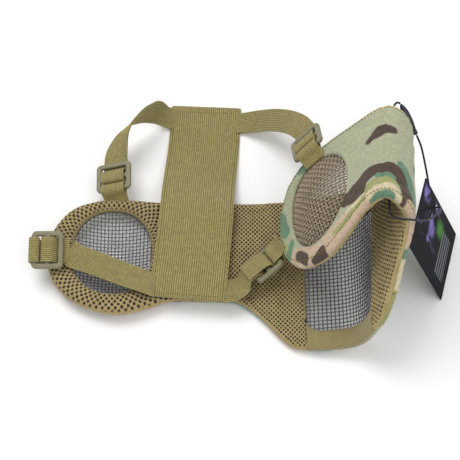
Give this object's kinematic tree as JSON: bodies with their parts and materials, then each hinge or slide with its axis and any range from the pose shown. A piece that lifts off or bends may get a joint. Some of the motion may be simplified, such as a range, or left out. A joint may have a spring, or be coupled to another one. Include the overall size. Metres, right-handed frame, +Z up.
{
  "type": "half-face mask",
  "caption": "Foldable camouflage half-face mask with steel mesh over mouth and ears, padded air-mesh lining and a webbing head harness, lying folded with a hang tag.",
  "frame": {"origin": "on the table face under the left cheek panel, between the left ear cup and the mouth", "axes": "+Z up from the table, +X along the band from the left ear cup towards the curled right side, +Y from the chin towards the nose edge"},
  "size_m": [0.3389, 0.2337, 0.1187],
  "materials": {
    "camo_cloth": "woven camouflage cloth",
    "string": "smooth black cord",
    "seal": "moulded",
    "foam": "closed-cell foam",
    "spacer_mesh": "open air mesh",
    "twill": "twill",
    "painted_steel": "tan paint on woven wire",
    "steel_mesh": "woven wire",
    "glide_plastic": "satin moulded nylon",
    "wide_webbing": "ribbed webbing",
    "card": "coated card",
    "webbing": "ribbed webbing"
  },
  "bodies": {
    "front": {"mouth_mesh": "steel_mesh", "left_cheek_shell": "camo_cloth", "left_cheek_foam": "foam", "left_cheek_lining": "spacer_mesh", "right_cheek_shell": "camo_cloth", "right_cheek_foam": "foam", "right_cheek_lining": "spacer_mesh", "nose_shell": "camo_cloth", "nose_lining": "spacer_mesh", "nose_foam": "foam", "chin_shell": "camo_cloth", "chin_strip": "twill", "top_left_strap": "webbing", "bottom_left_strap": "webbing", "top_right_strap": "webbing", "bottom_right_strap": "webbing", "back_pad": "wide_webbing", "tag_string": "string", "string_seal": "seal"},
    "left_ear": {"left_ear_shell": "camo_cloth", "left_ear_foam": "foam", "left_ear_ring": "spacer_mesh", "left_ear_mesh": "steel_mesh", "top_left_tab": "webbing", "rear_left_tab": "webbing"},
    "right_ear": {"right_ear_shell": "camo_cloth", "right_ear_foam": "foam", "right_ear_ring": "spacer_mesh", "right_ear_mesh": "painted_steel", "top_right_tab": "webbing", "rear_right_tab": "webbing"},
    "top_left_glide": {"top_left_glide": "glide_plastic", "top_left_strap_end": "webbing"},
    "rear_left_glide": {"rear_left_glide": "glide_plastic", "rear_left_strap_end": "webbing"},
    "top_right_glide": {"top_right_glide": "glide_plastic", "top_right_strap_end": "webbing"},
    "rear_right_glide": {"rear_right_glide": "glide_plastic", "rear_right_strap_end": "webbing"},
    "tag": {"hang_tag": "card"}
  },
  "joints": [
    {"name": "left_ear_fold", "type": "hinge", "parent": "front", "child": "left_ear", "pos_m": [-0.0295, 0, 0.0003], "axis": [0, 1, 0], "range_deg": [-12, 0]},
    {"name": "right_ear_fold", "type": "hinge", "parent": "front", "child": "right_ear", "pos_m": [0.112, 0.029, 0.1115], "axis": [0.0802, 0.9875, -0.1353], "range_deg": [0, 15]},
    {"name": "top_left_glide_swivel", "type": "hinge", "parent": "left_ear", "child": "top_left_glide", "pos_m": [-0.09367, 0.04555, 0.01758], "axis": [0.9404, 0, 0.3401], "range_deg": [-3, 8]},
    {"name": "rear_left_glide_swivel", "type": "hinge", "parent": "left_ear", "child": "rear_left_glide", "pos_m": [-0.15249, -0.0149, 0.0247], "axis": [0, -0.9536, -0.3011], "range_deg": [-1, 8]},
    {"name": "top_right_glide_swivel", "type": "hinge", "parent": "right_ear", "child": "top_right_glide", "pos_m": [0.06094, 0.05131, 0.06493], "axis": [0.6874, 0.3288, 0.6476], "range_deg": [-3, 8]},
    {"name": "rear_right_glide_swivel", "type": "hinge", "parent": "right_ear", "child": "rear_right_glide", "pos_m": [0.03466, -0.01955, 0.02412], "axis": [0.382, -0.7942, 0.4725], "range_deg": [-5, 0]},
    {"name": "tag_swing", "type": "hinge", "parent": "front", "child": "tag", "pos_m": [0.16001, 0.01312, 0.04269], "axis": [0.27, 0.9629, 0], "range_deg": [-3, 10]}
  ]
}
